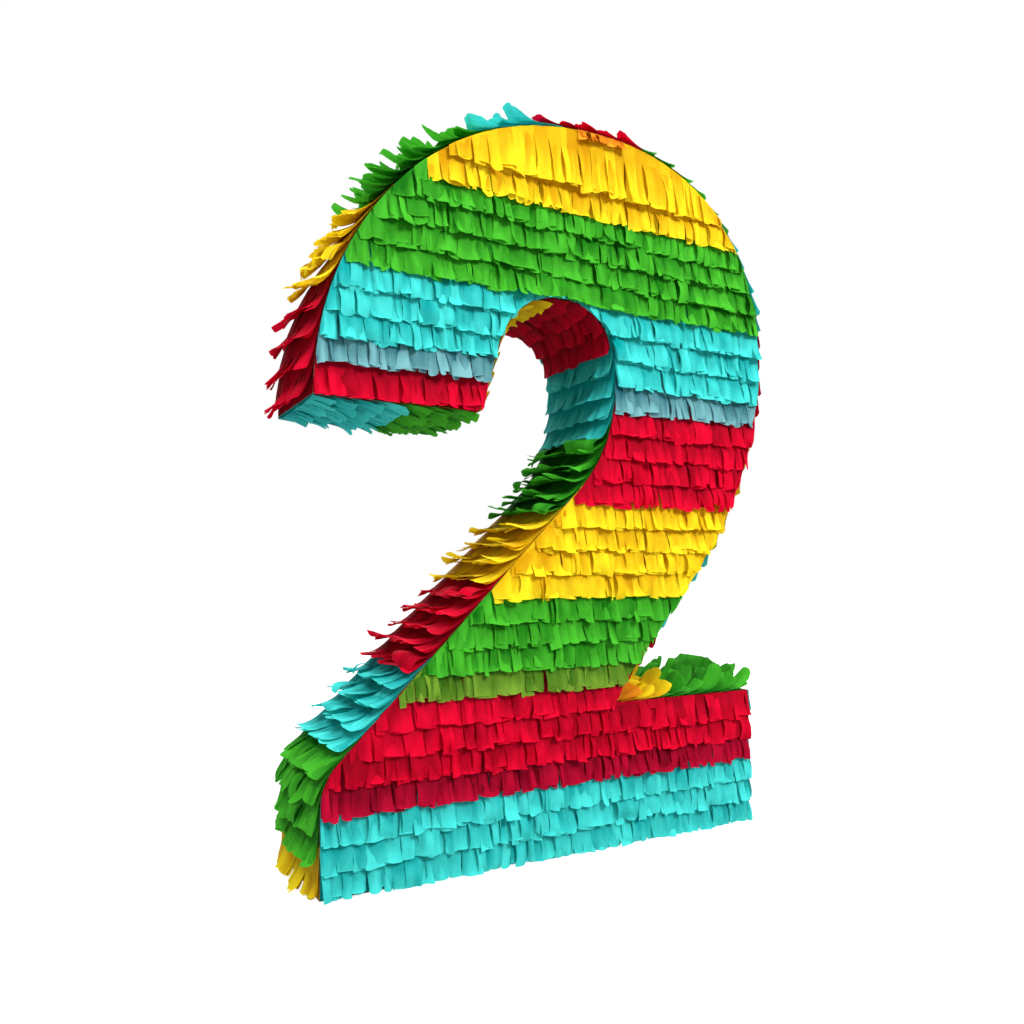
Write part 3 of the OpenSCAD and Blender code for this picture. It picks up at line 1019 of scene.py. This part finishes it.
def rim_chart(band):
    """The chart of a rim band. The outer run is laid in two parts, which fall to either side of SEAM."""
    ends = (0, band.run.length)
    if band.run is OUTER and band.way < 0:
        ends = (min(band.first, 0), SEAM)
    elif band.run is OUTER:
        ends = (SEAM, band.run.length - CROTCH_CLEAR)
    front_ease = ROUGH_FRONT_EASE if band.node in ROUGH_BANDS else FRONT_EASE
    return RimChart(band.run, band.way, *ends, front_ease)


def rim_band(band, rng):
    """All rows of a colour band on the rim, in the order of gluing."""
    node, _, run, first, last, way = band
    piece = Piece()
    chart = rim_chart(band)
    rows = CLOSE_ROWS.get(node, max(1, round((last - first) / ROW_PITCH)))
    pitch = (last - first) / rows
    edges = sorted((way * max(first, 0), way * min(last, run.length)))
    reach = HALF_D + BACKING_OVERLAP
    lay_backing(piece, chart, -reach, reach, *edges)
    spread = ROUGH_SPREAD if node in ROUGH_BANDS else RIM.spread
    look = RIM._replace(flare=FLARE.get(node, RIM.flare), spread=spread)
    reach = HALF_D + RIM_OVERLAP
    for i in range(rows):
        tip = last - i * pitch if way > 0 else first + i * pitch
        lay_row(piece, chart, -reach, reach, way * tip, look, rng, row_slot(node, i), SHADE_TINT.get(node, 0))
    return piece


def finish_piece(piece, node, colour, body="body"):
    """Makes a band's piece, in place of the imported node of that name."""
    made = piece.make("fringe_" + node, [TISSUE[colour], *ODD_TISSUE.values()])
    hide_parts(node)
    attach(made, body)


def lay_front(rng):
    """The front, with its crown last. Left of the yellow crown, the green goes one long row higher."""
    chart = FaceChart(FRONT)
    for band in FRONT_BANDS:
        piece = face_band(band, FRONT, rng)
        if band.node == "front_green_crown":
            lay_row(piece, chart, -HALF_W, CROWN_LEFT, -CROWN_LOW, LONG, rng)
        finish_piece(piece, band.node, band.colour)
    crown = Piece()
    lay_backing(crown, chart, CROWN_LEFT, HALF_W, -FIGURE_H, -CROWN_LOW)
    lay_row(crown, chart, CROWN_LEFT, HALF_W, -CROWN_LOW, FACE, rng)
    lay_row(crown, chart, CROWN_LEFT, HALF_W, -CROWN_LONG_LOW, LONG, rng)
    lay_row(crown, chart, *SCRAP_ENDS, -SCRAP_LOW, SCRAP, rng, odd_slot("orange"))
    finish_piece(crown, "front_yellow_crown", "yellow")


def lay_over_crease(rng):
    """The row just above the flap. It is glued to the back panel, and its tips hang over the crease onto
    the flap.
    """
    piece = Piece()
    lay_row(piece, FaceChart(BACK), FLAP_LEFT, FLAP_RIGHT, CREASE_OVERHANG - CREASE_Z, FACE, rng)
    made = piece.make("fringe_over_crease", [TISSUE["green"]])
    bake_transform(made)


def lay_back(rng):
    """The back, with the flap and the row over its crease last."""
    for band in BACK_BANDS:
        finish_piece(face_band(band, BACK, rng, "around"), band.node, band.colour)
    lay_over_crease(rng)
    flap = face_band(FLAP_BAND, BACK, rng, "on")
    finish_piece(flap, FLAP_BAND.node, FLAP_BAND.colour, "fill_flap")


def lay_rim(rng):
    """The rim, in the order of RIM_BANDS."""
    for band in RIM_BANDS:
        piece = rim_band(band, rng)
        if band.node == "rim_red_crown":
            open_string_holes(piece)
        finish_piece(piece, band.node, band.colour)


def dress_board():
    """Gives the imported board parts, which show when the flap is open, their material."""
    board = kraft("kraft_board")
    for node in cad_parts.values():
        if not node.hide_render:
            node.data.materials.clear()
            node.data.materials.append(board)


rng = random.Random(2)
lay_front(rng)
lay_back(rng)
lay_rim(rng)
dress_board()
